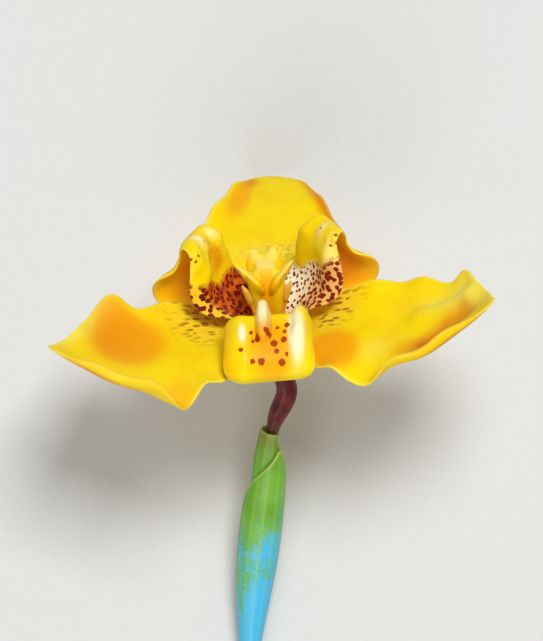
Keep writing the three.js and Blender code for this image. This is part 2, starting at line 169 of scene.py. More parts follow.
sideMidline = [(2, 0), (3.4, 3.4), (6, 6.8), (8.2, 9.6), (9, 12.4), (9.2, 15.4), (10.2, 18.2),
               (12.2, 18.8), (13.6, 17.2), (14.1, 15.2), (14.6, 13.3), (15, 11.7), (14.85, 10.1),
               (14.3, 8.75), (13.45, 7.75), (12.45, 6.8)]
nearWidth = [1.1, 2.1, 3.4, 5, 6.3, 6.9, 6.8, 6.2, 5, 3.6, 2.6, 3, 5.1, 4.9, 2.2]
farWidth = [1.1, 2.1, 3.4, 5, 6.3, 6.8, 6.2, 5.2, 4.3, 3.8, 3.7, 3.2, 2.6, 1.9, 1.2]
nearBend = [0.6, 0.9, 1, 0.7, 0.2, 0, 0, 0, 0, 0, -0.2, -0.4, -0.5, -0.4, -0.2]
farBend = [0.6, 0.9, 1, 0.7, 0.2, 0, 0, -0.1, -0.3, -0.3, -0.2, -0.1, -0.1, -0.1, 0]
limbRoll = [0, 0, 0, 0, -0.6, -1.1, -1.1, -0.9, -0.6, -0.2, 0, 0, 0, 0, 0]
limbTwist = [0, 0, 0, 0, 0, 0, 0, 0, 0, 0, 0, 14, 52, 62, 56]
sideTepal = {
    "midline": sideMidline,
    "rolls": (limbRoll, limbRoll),
    "ridges": [((14, 3.6), (21, 3.6), 0.6, 1.6, 2), ((14, -3.6), (21, -3.6), 0.6, 1.6, 2)],
    # how strongly the painted gold shade also lies on the lower face
    "underGold": 1.0,
    "crinkle": 0.28,
}
innerTepalLeft = {
    **sideTepal,
    "azimuth": 152,
    "widths": (nearWidth, farWidth),
    "bends": (nearBend, farBend),
    "twist": limbTwist,
    "gold": [((0.46, -0.1), (0.07, 0.3), 0.8, 2), ((0.92, 0.0), (0.16, 0.8), 0.8, 2)],
    "pale": [((0.6, 0.2), (0.035, 0.2), 1.0, 2), ((0.57, -0.5), (0.025, 0.16), 0.7, 2)],
    "ember": [((0.49, -0.18), (0.05, 0.16), 0.35, 2), ((0.88, -0.1), (0.09, 0.5), 0.75, 1.5)],
    "mottle": [((0.55, 0.1), (0.05, 0.3), 0.8, 2), ((0.5, -0.25), (0.04, 0.2), 0.6, 2)],
    "under": [((0.9, -0.35), (0.12, 0.6), 0.55, 1.2)],
    "spots": [(20.4, 5.2, 0.26), (19.7, 4.8, 0.2), (20.1, 4.1, 0.18)],
    "claw": (0.06, 0.37, 0.1, 0.0),
    "lumps": (0.56, 0.13, 0.8),
    "seed": 11,
}
innerTepalRight = {
    **sideTepal,
    "azimuth": 28,
    "widths": (farWidth, nearWidth),
    "bends": (farBend, nearBend),
    "twist": [-turn for turn in limbTwist],
    "gold": [((0.92, 0.0), (0.16, 0.8), 0.9, 2)],
    "pale": [((0.58, -0.16), (0.03, 0.14), 0.9, 2), ((0.5, -0.8), (0.06, 0.14), 0.5, 2),
             ((0.4, -0.68), (0.05, 0.14), 0.8, 2)],
    "ember": [((0.89, 0.05), (0.1, 0.5), 0.8, 1.5)],
    "mottle": [((0.6, -0.1), (0.04, 0.16), 0.7, 2), ((0.57, -0.85), (0.03, 0.2), 0.8, 2)],
    "under": [((0.9, 0.25), (0.12, 0.6), 1.0, 1.2)],
    "spots": [(20.6, -5.1, 0.26), (19.9, -4.6, 0.2), (21.3, -4.3, 0.18), (20.9, -0.5, 0.2)],
    "claw": (0.06, 0.41, -0.1, -0.1),
    "lumps": (0.56, 0.13, 0.7),
    "seed": 14,
}
innerTepalFront = {
    "azimuth": 268,
    "midline": [(2, 0), (3.4, 3.4), (5.4, 7), (7, 10), (9, 11.8), (11.6, 11.4), (14.2, 10.2),
                (16.4, 8.4), (17.3, 6.4), (16.4, 4.9), (14.4, 5.3)],
    "widths": ([1.1, 2.3, 4, 5.6, 6.8, 7.3, 7.4, 7.3, 7.1, 6.2, 3.8],
               [1.1, 2.3, 4, 5.6, 7, 7.8, 8, 8.1, 8, 6.9, 4.2]),
    "bends": ([0.6, 0.9, 0.9, 0.7, 0.2, 0, 0, 0, 0, 0, 0],) * 2,
    "rolls": ([0, 0, 0, -0.2, -1, -1.4, -1.4, -1.3, -1, -0.5, 0],) * 2,
    "ridges": [((12.5, -0.75), (18.2, -0.95), 2.4, 0.8, 4), ((15, -4.4), (24, -4.2), 0.6, 1.3, 2),
               ((13, 5.2), (18, 4.8), 1.1, 1.1, 3), ((18, 4.4), (22, 4.1), 0.5, 1, 2)],
    "gold": [((0.72, 0.03), (0.18, 0.44), 1.0, 3), ((0.7, -0.9), (0.25, 0.16), 0.5, 2)],
    "pale": [((0.64, 0.57), (0.15, 0.14), 1.0, 3), ((0.62, -0.53), (0.05, 0.06), 1.0, 3),
             ((0.5, -0.11), (0.1, 0.11), 0.8, 3)],
    "ember": [],
    "claw": (0.06, 0.36, 0.0, 0.0),
    "seed": 17,
    # spots in millimetres: along, across, size
    "spots": [(18.3, -0.4, 0.42), (16.9, 1.3, 0.3), (16.5, 2.9, 0.5), (17.7, 2.4, 0.34), (19.1, 2.2, 0.5),
              (19.6, 0.6, 0.55), (20.9, 0.9, 0.4), (21.5, 2.5, 0.32), (22.7, 1.6, 0.55), (22.3, -1.6, 0.55),
              (22.2, -3.0, 0.4), (18.7, -1.9, 0.5), (17.5, -2.9, 0.34), (20.4, -4.6, 0.34), (19, -2.7, 0.3)],
}


def tepalSurface(tepal):
    points = [(radius, height + headPose["rootHeight"]) for radius, height in tepal["midline"]]
    readLine, length = lineThrough(points)
    angle = math.radians(tepal["azimuth"])

    def surface(u, v):
        u, v = np.broadcast_arrays(np.asarray(u, float), np.asarray(v, float))
        centre, tangent = readLine(u)
        half, bend, roll = (bySide(tepal[key], u, v) for key in ("widths", "bends", "rolls"))
        size, steps = np.abs(v), 10
        across, lift = np.zeros(u.shape), np.zeros(u.shape)
        for k in range(steps):
            w = size * (k + 0.5) / steps
            curl = np.clip((w - headPose["rollFrom"]) / (1 - headPose["rollFrom"]), 0, 1)
            across += half * size * np.cos(bend * w + roll * curl) / steps
            lift += half * size * np.sin(bend * w + roll * curl) / steps
        across *= np.sign(v)
        if "ripple" in tepal:
            height, count, phase = tepal["ripple"]
            fade = size ** 3 * np.sin(np.pi * np.clip(u, 0, 1))
            lift += height * fade * np.sin(2 * np.pi * (count * u + phase) + np.sign(v))
        for start, end, height, width, steep in tepal.get("ridges", []):
            lift += height * softRidge(u * length, v * half, start, end, width, steep)
        twist = np.radians(smoothAt(tepal.get("twist", [0]), u))
        across, lift = (across * np.cos(twist) - lift * np.sin(twist),
                        across * np.sin(twist) + lift * np.cos(twist))
        radial = centre[..., 0] - tangent[..., 1] * lift
        height = centre[..., 1] + tangent[..., 0] * lift
        return np.stack([radial * math.cos(angle) - across * math.sin(angle),
                         radial * math.sin(angle) + across * math.cos(angle), height], -1)

    return surface, length


def softRidge(along, across, start, end, width, steep):
    dx, dy = end[0] - start[0], end[1] - start[1]
    t = np.clip(((along - start[0]) * dx + (across - start[1]) * dy) / (dx * dx + dy * dy), 0, 1)
    away = np.hypot(along - start[0] - t * dx, across - start[1] - t * dy)
    return np.exp(-(away / width) ** steep)


# the middle grid of a blade and its normals
def bladeGrid(surface, rows, columns, roundTip=0.0):
    u, v = np.meshgrid(np.linspace(0, 1, rows + 1), np.linspace(-1, 1, columns + 1), indexing="ij")
    if roundTip:
        v = v * np.sqrt(1 - 0.95 * np.clip((u - 1 + roundTip) / roundTip, 0, 1) ** 2)
    step = 1e-3
    inside = np.clip(u, step, 1 - step)
    normal = unit(np.cross(surface(inside + step, v) - surface(inside - step, v),
                           surface(u, v + step) - surface(u, v - step)))
    return surface(u, v), normal, u, v


def lieDown(points):
    return turned(turned(points, "x", headPose["pitch"] - 90), "z", headPose["lean"])


# Where the flower's own origin, the top of the ovary, lies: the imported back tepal's low corner
# against the same coarse blade here.
packedBlade = {"rows": 24, "columns": 12, "thickness": 0.65}
coarse, coarseNormal = bladeGrid(tepalSurface(outerTepalBack)[0], packedBlade["rows"],
                                 packedBlade["columns"])[:2]
coarseHalf = coarseNormal * packedBlade["thickness"] / 2
coarseCorner = lieDown(np.stack([coarse + coarseHalf, coarse - coarseHalf])).reshape(-1, 3).min(0)
flowerPlace = np.array(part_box("outer_tepal_back")[0]) * 1000 - coarseCorner


def fromHead(points):
    return lieDown(points) + flowerPlace


# Meshes

def addObject(name, data):
    made = bpy.data.objects.new(name, data)
    bpy.context.scene.collection.objects.link(made)
    return made


def makeMesh(name, points, faces, values=None, uv=None):
    mesh = bpy.data.meshes.new(name)
    mesh.from_pydata([tuple(p) for p in np.asarray(points) * 0.001], [], [tuple(f) for f in faces])
    for key, data in (values or {}).items():
        data = np.asarray(data, np.float32)
        kind = "FLOAT" if data.ndim == 1 else "FLOAT_VECTOR"
        attribute = mesh.attributes.new(key, kind, "POINT")
        attribute.data.foreach_set("value" if data.ndim == 1 else "vector", data.ravel())
    if uv is not None:
        layer = mesh.uv_layers.new(name="surfaceUv")
        corners = np.zeros(len(mesh.loops), np.int32)
        mesh.loops.foreach_get("vertex_index", corners)
        layer.data.foreach_set("uv", np.asarray(uv, np.float32)[corners].ravel())
    mesh.shade_smooth()
    mesh.update()
    return addObject(name, mesh)


# four-sided faces between the points of a grid, with their corners in the given order
def gridFaces(rows, columns, order, first=0, ring=False):
    faces = []
    wide = columns if ring else columns + 1
    for i in range(rows):
        for j in range(columns):
            a = first + i * wide + j
            b = first + i * wide + (j + 1) % wide
            corners = (a, a + wide, b + wide, b)
            faces.append(tuple(corners[k] for k in order))
    return faces


# a closed blade with an upper and a lower sheet, thinner towards its margin
def makeBlade(name, grid, thickness, relief, values, below=None):
    middle, normal, u, v = grid
    rows, columns = u.shape[0] - 1, u.shape[1] - 1
    half = thickness[..., None] * normal / 2
    lift = relief[..., None] * normal
    sheets = np.stack([middle + lift + half, middle + lift - half])
    faces = gridFaces(rows, columns, (0, 1, 2, 3)) + gridFaces(rows, columns, (0, 3, 2, 1), u.size)
    at = np.arange(u.size).reshape(u.shape)
    rim = list(at[0, :-1]) + list(at[:-1, -1]) + list(at[-1, :0:-1]) + list(at[:0:-1, 0])
    for a, b in zip(rim, rim[1:] + rim[:1]):
        faces.append((a, b, u.size + b, u.size + a))
    both = {}
    for key, data in values.items():
        lower = (below or {}).get(key, data)
        both[key] = np.concatenate([data.reshape(u.size, -1), lower.reshape(u.size, -1)]).squeeze()
    both["face"] = np.repeat([1.0, 0.0], u.size)
    uv = np.stack([u, (v + 1) / 2], -1).reshape(-1, 2)
    return makeMesh(name, sheets.reshape(-1, 3), faces, both, np.concatenate([uv, uv]))


def settle(piece, node, material):
    piece.data.materials.clear()
    piece.data.materials.append(material)
    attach(piece, "root")
    if node:
        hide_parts(node)
    return piece


# Material helpers

class Nodes:
    # short calls that fill one node tree
    def __init__(self, tree):
        self.tree = tree

    def add(self, kind, settings=None, **inputs):
        node = self.tree.nodes.new(kind)
        for key, value in (settings or {}).items():
            setattr(node, key, value)
        for key, value in inputs.items():
            self.put(node.inputs[key.replace("_", " ")], value)
        return node

    def put(self, socket, value):
        if isinstance(value, bpy.types.NodeSocket):
            self.tree.links.new(value, socket)
        else:
            socket.default_value = value


class Sheet(Nodes):
    # one material's tree, with its shader and the nodes that the skins use
    def __init__(self, name):
        self.material = bpy.data.materials.new(name)
        self.material.use_nodes = True
        super().__init__(self.material.node_tree)
        self.shader = self.tree.nodes["Principled BSDF"]

    # fills the shader's sockets: a uniform value is set on the socket itself
    def surface(self, colour, normal, roughness, settings=None):
        values = {"Base Color": colour, "Roughness": roughness, **(settings or {})}
        if normal is not None:
            values["Normal"] = normal
        for key, value in values.items():
            self.put(self.shader.inputs[key], value)
        return self.material

    def math(self, operation, a, b=0.0):
        node = self.add("ShaderNodeMath", {"operation": operation})
        for socket, value in zip(node.inputs, (a, b)):
            self.put(socket, value)
        return node.outputs[0]

    def times(self, a, b):
        return self.math("MULTIPLY", a, b)

    def plus(self, a, b):
        return self.math("ADD", a, b)

    def minus(self, a, b):
        return self.math("SUBTRACT", a, b)

    # thin lines where the phase passes a multiple of pi
    def lines(self, phase, power):
        wave = self.math("ABSOLUTE", self.math("SINE", phase))
        return self.math("POWER", self.minus(1.0, wave), power)

    def step(self, value, low, high, smooth=True):
        node = self.add("ShaderNodeMapRange", {"interpolation_type": "SMOOTHSTEP" if smooth else "LINEAR"})
        for key, number in (("Value", value), ("From Min", low), ("From Max", high)):
            self.put(node.inputs[key], number)
        return node.outputs["Result"]

    def mix(self, share, a, b):
        node = self.add("ShaderNodeMix", {"data_type": "RGBA"})
        for place, value in ((0, share), (6, a), (7, b)):
            self.put(node.inputs[place], (*value, 1.0) if isinstance(value, tuple) else value)
        return node.outputs[2]

    def value(self, name, output="Fac"):
        return self.add("ShaderNodeAttribute", {"attribute_name": name}).outputs[output]

    def parts(self, name):
        return self.add("ShaderNodeSeparateXYZ", Vector=self.value(name, "Vector")).outputs

    def join(self, x, y, z=0.0):
        node = self.add("ShaderNodeCombineXYZ")
        for socket, value in zip(node.inputs, (x, y, z)):
            self.put(socket, value)
        return node.outputs[0]

    def flat(self, place):
        return self.join(place[0], place[1])

    def stretched(self, place, *factors):
        return self.join(*(self.times(part, factor) for part, factor in zip(place, factors)))

    def noise(self, vector, scale, detail=3.0, rough=0.5):
        node = self.add("ShaderNodeTexNoise", Vector=vector, Scale=scale, Detail=detail, Roughness=rough)
        return node.outputs["Fac"]

    # the distance to the nearest of scattered points on a sheet
    def cells(self, vector, scale):
        node = self.add("ShaderNodeTexVoronoi", {"voronoi_dimensions": "2D"}, Vector=vector,
                        Scale=scale, Randomness=0.9)
        return node.outputs["Distance"]

    def objectPlace(self):
        return self.add("ShaderNodeTexCoord").outputs["Object"]

    def bump(self, height, strength, distance, under=None):
        node = self.add("ShaderNodeBump", Height=height, Strength=strength, Distance=distance)
        if under is not None:
            self.put(node.inputs["Normal"], under)
        return node.outputs["Normal"]


# The petal colours, as linear values.
petalColours = {
    "yellow": (0.95, 0.71, 0.002),
    "gold": (0.9, 0.39, 0.001),
    "pale": (0.95, 0.86, 0.16),
    "cream": (0.93, 0.84, 0.42),
    "ember": (0.62, 0.13, 0.004),
    "spot": (0.42, 0.045, 0.001),
    "dash": (0.34, 0.12, 0.006),
    "mottle": (0.55, 0.2, 0.008),
    "sand": (0.8, 0.5, 0.08),
    "vein": (0.84, 0.46, 0.003),
}


# the yellow petal skin: painted shade and highlight areas, veins along the blade and a waxy fine grain
def petalSkin(name, look):
    s = Sheet(name)
    c = petalColours
    place = s.parts("place")       # millimetres along and across, and the arc from the margin
    shadeAndHighlight = s.parts("shadeAndHighlight")         # gold, pale and ember
    fan = s.parts("fan")           # u, v and the claw's share
    where = s.objectPlace()
    drift = s.noise(where, 260.0)
    colour = s.mix(s.times(s.step(drift, 0.4, 0.75), 0.22), c["yellow"], c["gold"])
    # painted shade in gold, painted highlight in pale and painted shadow in ember
    colour = s.mix(shadeAndHighlight[0], colour, c["gold"])
    colour = s.mix(shadeAndHighlight[1], colour, look["pale"])
    colour = s.mix(shadeAndHighlight[2], colour, look["ember"])
    # veins fan out with the width and waver a little
    waver = s.noise(s.stretched(place, 0.35, 0.35), 1.0, 2.0)
    lane = s.plus(s.times(fan[1], look["veins"]), s.times(waver, 1.6))
    vein = s.lines(s.times(lane, math.pi), 3.0)
    colour = s.mix(s.times(vein, look["veinShare"]), colour, c["vein"])
    # a paler, thinner margin: partly its own translucence, partly a painted highlight on the rim
    margin = s.step(place[2], 0.7, 0.0)
    colour = s.mix(s.times(margin, 0.35), colour, c["pale"])
    if look.get("dashes"):
        colour = s.mix(s.times(fan[2], 0.25), colour, c["sand"])
        colour = s.mix(clawDashes(s, fan, place), colour, c["dash"])
    if look.get("claw"):
        claw = look["claw"]
        side = s.plus(fan[1], s.times(s.minus(s.noise(where, 500.0), 0.5), 0.5))
        ground = s.mix(s.step(side, *claw["edge"]), *claw["ground"])
        colour = s.mix(fan[2], colour, ground)
        if "smear" in claw:  # darker bands across the claw
            inner = s.times(s.step(side, *reversed(claw["edge"])), fan[2])
            flow = s.noise(s.stretched(place, 0.75, 0.22), 1.0)
            bands = s.times(s.step(flow, 0.42, 0.62), inner)
            colour = s.mix(s.times(bands, 0.8), colour, claw["smear"])
        colour = s.mix(s.times(fan[2], clawSpots(s, fan, place, claw)), colour, claw["spot"])
    # brown mottling in a few places
    patches = s.step(s.noise(s.flat(place), 1.3, 3.0, 0.65), 0.46, 0.62)
    patches = s.times(patches, s.value("mottle"))
    colour = s.mix(s.times(patches, 0.65), colour, c["mottle"])
    if look.get("spots"):
        colour = s.mix(handSpots(s, place, look["spots"]), colour, c["spot"])
    # the lower face is a little deeper, most of all at its margin, where an ember fringe is painted shade on
    # the rims that turn away
    back = s.minus(1.0, s.value("face"))
    colour = s.mix(s.times(back, 0.12), colour, c["gold"])
    shadeFringe = s.times(back, s.step(place[2], 0.5, 0.0))
    colour = s.mix(s.times(shadeFringe, 0.3), colour, c["ember"])
    grain = s.add("ShaderNodeTexVoronoi", {"feature": "SMOOTH_F1"}, Vector=where, Scale=5200.0)
    skin = s.bump(vein, 0.25, 0.00012, s.bump(grain.outputs["Distance"], 0.12, 0.00012))
    rough = s.plus(0.33, s.times(s.noise(where, 900.0), 0.2))
    return s.surface(colour, skin, rough, {
        "Specular IOR Level": 0.08, "Subsurface Weight": 0.25, "Subsurface Radius": (1.0, 0.55, 0.05),
        "Subsurface Scale": 0.0009, "Coat Weight": look.get("coat", 0.0), "Coat Roughness": 0.3})


# short brown dashes that point away from the claw
def clawDashes(s, fan, place):
    dash = s.step(s.cells(s.join(s.times(place[0], 0.5), s.times(fan[1], 10.0)), 1.0), 0.38, 0.24)
    zone = s.times(s.step(s.noise(s.flat(place), 0.35, 1.0), 0.34, 0.5), fan[2])
    return s.times(s.times(dash, zone), 0.9)


# crowded round spots on a claw, smaller towards one side of it
def clawSpots(s, fan, place, claw):
    bent = s.noise(s.flat(place), 1.6, 2.0)
    vector = s.join(s.plus(place[0], s.times(bent, 0.5)), place[1])
    cells = s.cells(vector, claw["perMm"])
    size = s.plus(s.times(bent, claw["swell"]), claw["size"])
    size = s.minus(size, s.times(s.step(fan[1], *claw["edge"]), claw["shrink"]))
    return s.step(s.minus(size, cells), 0.0, 0.06)


# spots at listed places, with a slightly ragged edge
def handSpots(s, place, spots):
    flat = s.flat(place)
    ragged = s.times(s.minus(s.noise(flat, 3.0, 2.0), 0.5), 0.5)
    found = 0.0
    for along, across, size in spots:
        away = s.add("ShaderNodeVectorMath", {"operation": "DISTANCE"})
        s.put(away.inputs[0], flat)
        away.inputs[1].default_value = (along, across, 0)
        reach = s.plus(away.outputs["Value"], ragged)
        found = s.math("MAXIMUM", found, s.step(reach, size + 0.1, size - 0.06))
    return found


# each look's pale is its painted highlight colour and its ember is its painted shadow colour
outerLook = {"veins": 26, "veinShare": 0.2, "pale": (0.94, 0.8, 0.1), "ember": (0.66, 0.17, 0.004),
             "dashes": True}
innerLook = {"veins": 16, "veinShare": 0.15, "coat": 0.06}
frontLook = {
    **innerLook, "pale": (0.97, 0.93, 0.6), "ember": petalColours["ember"],
    "spots": innerTepalFront["spots"],
    "claw": {"perMm": 0.95, "size": 0.2, "swell": 0.35, "shrink": 0, "edge": (-1, 1),
             "ground": (petalColours["cream"], petalColours["gold"]), "spot": petalColours["spot"]}}
leftLook = {
    **innerLook, "pale": (0.96, 0.9, 0.4), "ember": (0.6, 0.12, 0.004),
    "spots": innerTepalLeft["spots"],
    # the left claw's dark red ground is painted shade beneath the overhanging knee
    "claw": {"perMm": 0.95, "size": 0.17, "swell": 0.42, "shrink": -0.05, "edge": (0.55, 0.8),
             "ground": ((0.66, 0.14, 0.006), (0.9, 0.6, 0.03)), "spot": (0.19, 0.006, 0.003),
             "smear": (0.3, 0.02, 0.004)}}
rightLook = {
    **innerLook, "pale": (0.96, 0.9, 0.42), "ember": (0.6, 0.14, 0.004),
    "spots": innerTepalRight["spots"],
    "claw": {"perMm": 1.1, "size": 0.2, "swell": 0.5, "shrink": 0.16, "edge": (-0.45, 0.25),
             "ground": ((0.84, 0.5, 0.14), (0.96, 0.92, 0.68)), "spot": (0.24, 0.012, 0.006)}}

# thickness and fine relief of the petals in millimetres; waves have a count and two limits
bladeDetail = {"thickness": 0.55, "margin": 0.22, "thins": 1.2, "veins": 13, "veinRelief": 0.035,
               "uneven": (14, 0.25, 0.9), "crumpled": (9, 1.1, 2.1)}


# a blade's thickness by how far the margin is
def thinned(detail, marginMm):
    share = np.sqrt(np.clip(marginMm / detail["thins"], 0, 1))
    return detail["margin"] + (detail["thickness"] - detail["margin"]) * share


# the sum of random waves over a sheet, whose count per millimetre lies between two values
def waves(rng, count, low, high, along, across):
    total = np.zeros(along.shape)
    for _ in range(count):
        turn, wide, phase = rng.uniform(0, math.tau), rng.uniform(low, high), rng.uniform(0, math.tau)
        total += np.sin(wide * (along * math.cos(turn) + across * math.sin(turn)) + phase)
    return total / count


def makeTepal(name, tepal, material, rows, columns):
    surface, length = tepalSurface(tepal)
    grid = bladeGrid(surface, rows, columns, tepal.get("roundTip", 0))
    u, v = grid[2:]
    half = bySide(tepal["widths"], u, v)
    alongMm, acrossMm = u * length, v * half
    marginMm = np.minimum((1 - np.abs(v)) * half, (1 - u) * length)
    thickness = thinned(bladeDetail, marginMm)
    rng = np.random.default_rng(tepal["seed"])
    # soft unevenness, strongest at the margins
    relief = waves(rng, *bladeDetail["uneven"], alongMm, acrossMm) * tepal.get("crinkle", 0.1)
    relief *= (0.5 + np.abs(v)) * np.sin(np.pi * np.clip(u, 0, 1))
    if "lumps" in tepal:  # a crumpled stretch: place, reach and size
        place, reach, size = tepal["lumps"]
        lumps = waves(rng, *bladeDetail["crumpled"], alongMm, acrossMm)
        relief += size * lumps * np.exp(-((u - place) / reach) ** 2)
    lanes = np.abs(np.sin(np.pi * v * bladeDetail["veins"] + 0.6 * np.sin(0.3 * alongMm)))
    relief += bladeDetail["veinRelief"] * (1 - lanes) ** 3
    # painted shade and highlight blobs on the upper face; on the lower face gold shade, weaker pale and the
    # under blobs of painted shade
    shadeAndHighlight = np.stack([blobs(u, v, tepal[key]) for key in ("gold", "pale", "ember")], -1)
    below = np.stack([shadeAndHighlight[..., 0] * tepal.get("underGold", 0.3), shadeAndHighlight[..., 1] * 0.6,
                      blobs(u, v, tepal.get("under", []))], -1)
    if "claw" in tepal:
        low, high, ahead, behind = tepal["claw"]
        edge = high + np.where(v >= 0, ahead, behind) * v + 0.012 * np.sin(7 * v + tepal["seed"])
        claw = np.clip((u - low) / 0.04, 0, 1) * np.clip((edge - u) / 0.03, 0, 1)
    else:  # the dashes of an outer tepal lie in a few places near its root
        claw = blobs(u, v, tepal["marks"])
    values = {"place": np.stack([alongMm, acrossMm, marginMm], -1), "shadeAndHighlight": shadeAndHighlight,
              "fan": np.stack([u, v, claw], -1), "mottle": blobs(u, v, tepal.get("mottle", []))}
    grid = (fromHead(grid[0]), lieDown(grid[1]), u, v)
    piece = makeBlade(name, grid, thickness, relief, values, {"shadeAndHighlight": below})
    return settle(piece, name, material)


outerSkin = petalSkin("outerPetalSkin", outerLook)
makeTepal("outer_tepal_left", outerTepalLeft, outerSkin, 128, 84)
makeTepal("outer_tepal_right", outerTepalRight, outerSkin, 128, 84)
makeTepal("outer_tepal_back", outerTepalBack, outerSkin, 120, 80)
frontSkin, leftSkin, rightSkin = (
    petalSkin("frontPetalSkin", frontLook), petalSkin("leftPetalSkin", leftLook),
    petalSkin("rightPetalSkin", rightLook))
makeTepal("inner_tepal_front", innerTepalFront, frontSkin, 200, 130)
makeTepal("inner_tepal_left", innerTepalLeft, leftSkin, 180, 84)
makeTepal("inner_tepal_right", innerTepalRight, rightSkin, 180, 84)
print("tepals made")


# Stalks: rings of points square to a path

# a path's points, with the directions sideways and upwards that are square to it
def squareTo(path, t, side):
    centre, step = path(t), 0.004
    tangent = unit(path(np.clip(t + step, 0, 1)) - path(np.clip(t - step, 0, 1)))
    side = np.broadcast_to(np.asarray(side, float), centre.shape)
    across = unit(side - tangent * (side * tangent).sum(-1, keepdims=True))
    return centre, across, np.cross(tangent, across)


# points around a path: section(t, angle) gives the reach sideways and upwards
def ringGrid(path, steps, sides, side, section):
    t = np.linspace(0, 1, steps + 1)
    angle = math.tau * np.arange(sides) / sides
    centre, across, up = squareTo(path, t, side)
    a, b = section(t[:, None], angle[None, :])
    points = centre[:, None] + across[:, None] * a[..., None] + up[:, None] * b[..., None]
    return points, t, angle


def makeStalk(name, points, values=None):
    sides, capSteps = points.shape[1], 4
    first, last = points[0].mean(0), points[-1].mean(0)
    # flat ends, in rings so that they shade well
    opening = [first + (points[0] - first) * k / capSteps for k in range(1, capSteps)]
    closing = [last + (points[-1] - last) * k / capSteps for k in range(capSteps - 1, 0, -1)]
    body = np.array([*opening, *points, *closing])
    count = len(body)
    faces = gridFaces(count - 1, sides, (1, 2, 3, 0), ring=True)
    low, high = count * sides, count * sides + 1
    for k in range(sides):
        n = (k + 1) % sides
        faces.append((low, n, k))
        faces.append((high, (count - 1) * sides + k, (count - 1) * sides + n))
    allPoints = np.concatenate([body.reshape(-1, 3), [first, last]])
    extra = capSteps - 1
    spread = {}
    for key, data in (values or {}).items():
        grown = np.concatenate([np.repeat(data[:1], extra, 0), data, np.repeat(data[-1:], extra, 0)])
        spread[key] = np.concatenate([grown.reshape(count * sides, -1), data[0, :1].reshape(1, -1),
                                      data[-1, :1].reshape(1, -1)]).squeeze()
    ends = np.zeros(len(allPoints))
    ends[(count - extra) * sides:] = 1
    ends[count * sides] = 0
    spread["end"] = ends
    return makeMesh(name, allPoints, faces, spread)


# the reach sideways and upwards of a section that is flat times as high as it is wide
def oval(radius, angle, flat=1.0):
    return radius * np.cos(angle), radius * flat * np.sin(angle)


def roundSection(radii, flat=1.0):
    return lambda t, angle: oval(smoothAt(radii, t), angle, flat)


# how far along a stalk its points lie, and which way from its middle
def stalkPlace(along, angle):
    along, angle = np.broadcast_arrays(along[:, None], angle[None, :])
    return {"place": np.stack([along, np.cos(angle), np.sin(angle)], -1)}


def radialPath(azimuth, points):
    angle = math.radians(azimuth)
    placed = []
    for point in points:
        radius, height = point[:2]
        sideways = point[2] if len(point) > 2 else 0
        placed.append((radius * math.cos(angle) - sideways * math.sin(angle),
                       radius * math.sin(angle) + sideways * math.cos(angle), height))
    read, _ = lineThrough(placed)
    return lambda t: read(t)[0]


def tangential(azimuth):
    angle = math.radians(azimuth)
    return (-math.sin(angle), math.cos(angle), 0)


# joins overlapping pieces into one smooth skin
def weld(name, pieces, voxel, smooth):
    bpy.ops.object.select_all(action="DESELECT")
    for piece in pieces:
        piece.select_set(True)
    bpy.context.view_layer.objects.active = pieces[0]
    bpy.ops.object.join()
    whole = pieces[0]
    remesh = whole.modifiers.new("remesh", "REMESH")
    remesh.mode, remesh.voxel_size = "VOXEL", voxel * 0.001
    relax = whole.modifiers.new("relax", "SMOOTH")
    relax.factor, relax.iterations = 0.5, smooth
    return bakedCopy(name, whole)


# the evaluated mesh of an object as a plain new one, in place of it
def bakedCopy(name, piece):
    depsgraph = bpy.context.evaluated_depsgraph_get()
    mesh = bpy.data.meshes.new_from_object(piece.evaluated_get(depsgraph), depsgraph=depsgraph)
    mesh.name = name
    old = piece.data
    bpy.data.objects.remove(piece)
    bpy.data.meshes.remove(old)
    mesh.shade_smooth()
    return addObject(name, mesh)


# gives each point of a mesh its place in the upright flower, in millimetres
def addHeadPlace(piece):
    count = len(piece.data.vertices)
    points = np.zeros(count * 3, np.float32)
    piece.data.vertices.foreach_get("co", points)
    local = turned(turned(points.reshape(-1, 3) * 1000 - flowerPlace, "z", -headPose["lean"]), "x",
                   90 - headPose["pitch"])
    attribute = piece.data.attributes.new("place", "FLOAT_VECTOR", "POINT")
    attribute.data.foreach_set("vector", local.astype(np.float32).ravel())


# The style: a lobed column that parts into arms, each with two pointed crests.
style = {
    "arms": {"back": 90, "left": 208, "right": 332},
    "columnHeight": 16.3,
    "columnRadii": [1.2, 1.35, 1.7, 2.1, 2.5, 2.75, 2.6, 1.3],
    "columnLobes": [0, 0.08, 0.1, 0.1, 0.12, 0.15, 0.15, 0.1],
    "crest": [(1.5, 11.6, 0.5), (2.3, 13.8, 1), (3.2, 15.4, 1.4), (4.1, 16.6, 1.6)],
    "crestRadii": [1.1, 1.75, 1.6, 0.45],
    "crestFlat": 0.42,
    "weld": (0.14, 4),  # the skin's grain in millimetres, and how often it is smoothed
}


def makeStyle(material):
    def lobed(t, angle):
        lobes = smoothAt(style["columnLobes"], t) * np.cos(3 * (angle - math.pi / 2))
        return oval(smoothAt(style["columnRadii"], t) * (1 + lobes), angle)

    def upright(t):
        return np.stack([0 * t, 0 * t, headPose["rootHeight"] + t * style["columnHeight"]], -1)

    parts = [makeStalk("styleColumn", fromHead(ringGrid(upright, 48, 60, (1, 0, 0), lobed)[0]))]
    for azimuth in style["arms"].values():
        for sign in (-1, 1):
            path = radialPath(azimuth, [(r, z, sign * s) for r, z, s in style["crest"]])
            section = roundSection(style["crestRadii"], style["crestFlat"])
            rings = ringGrid(path, 24, 24, tangential(azimuth), section)[0]
            parts.append(makeStalk("styleCrest", fromHead(rings)))
    piece = weld("style", parts, *style["weld"])
    addHeadPlace(piece)
    return settle(piece, "style", material)


